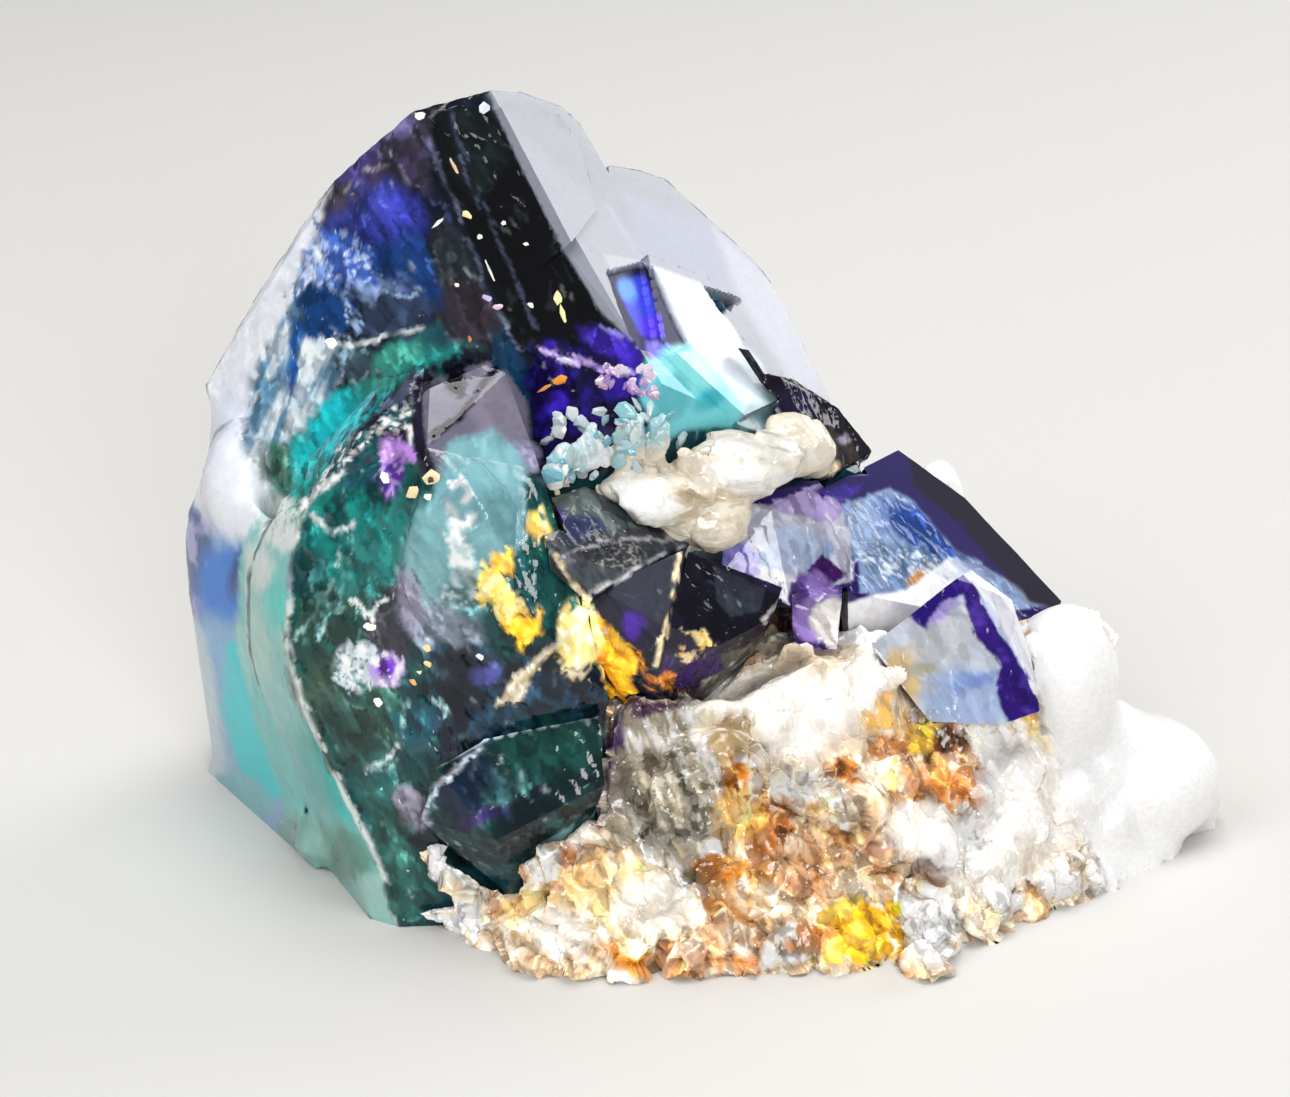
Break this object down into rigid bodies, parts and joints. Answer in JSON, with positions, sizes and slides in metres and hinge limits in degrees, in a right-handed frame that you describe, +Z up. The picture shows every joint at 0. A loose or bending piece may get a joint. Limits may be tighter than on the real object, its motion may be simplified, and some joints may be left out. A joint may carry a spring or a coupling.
{
  "type": "fluorite cluster on quartz",
  "caption": "Hand specimen: zoned teal, blue and purple fluorite crystals grown on a granular white and cream quartz base that rests flat.",
  "frame": {"origin": "on the flat base, under the middle of the specimen's box", "axes": "+Z up from the flat base, +X along the specimen's longest extent towards the white quartz end, -Y towards the side with the fine crystals"},
  "size_m": [0.0726, 0.0444, 0.0502],
  "materials": {
    "zoned_fluorite": "glossy teal, blue and purple zones",
    "dark_fluorite": "glossy, near-black violet",
    "blue_fluorite": "glossy pale blue with violet edges",
    "quartz": "granular, cream and white with orange stains"
  },
  "bodies": {
    "root": {"fluorite_main": "zoned_fluorite", "fluorite_dark_cubes": "dark_fluorite", "fluorite_right_group": "blue_fluorite", "fluorite_front_corner": "blue_fluorite", "fluorite_blade": "dark_fluorite", "quartz_upper": "quartz", "quartz_matrix": "quartz"}
  },
  "joints": []
}
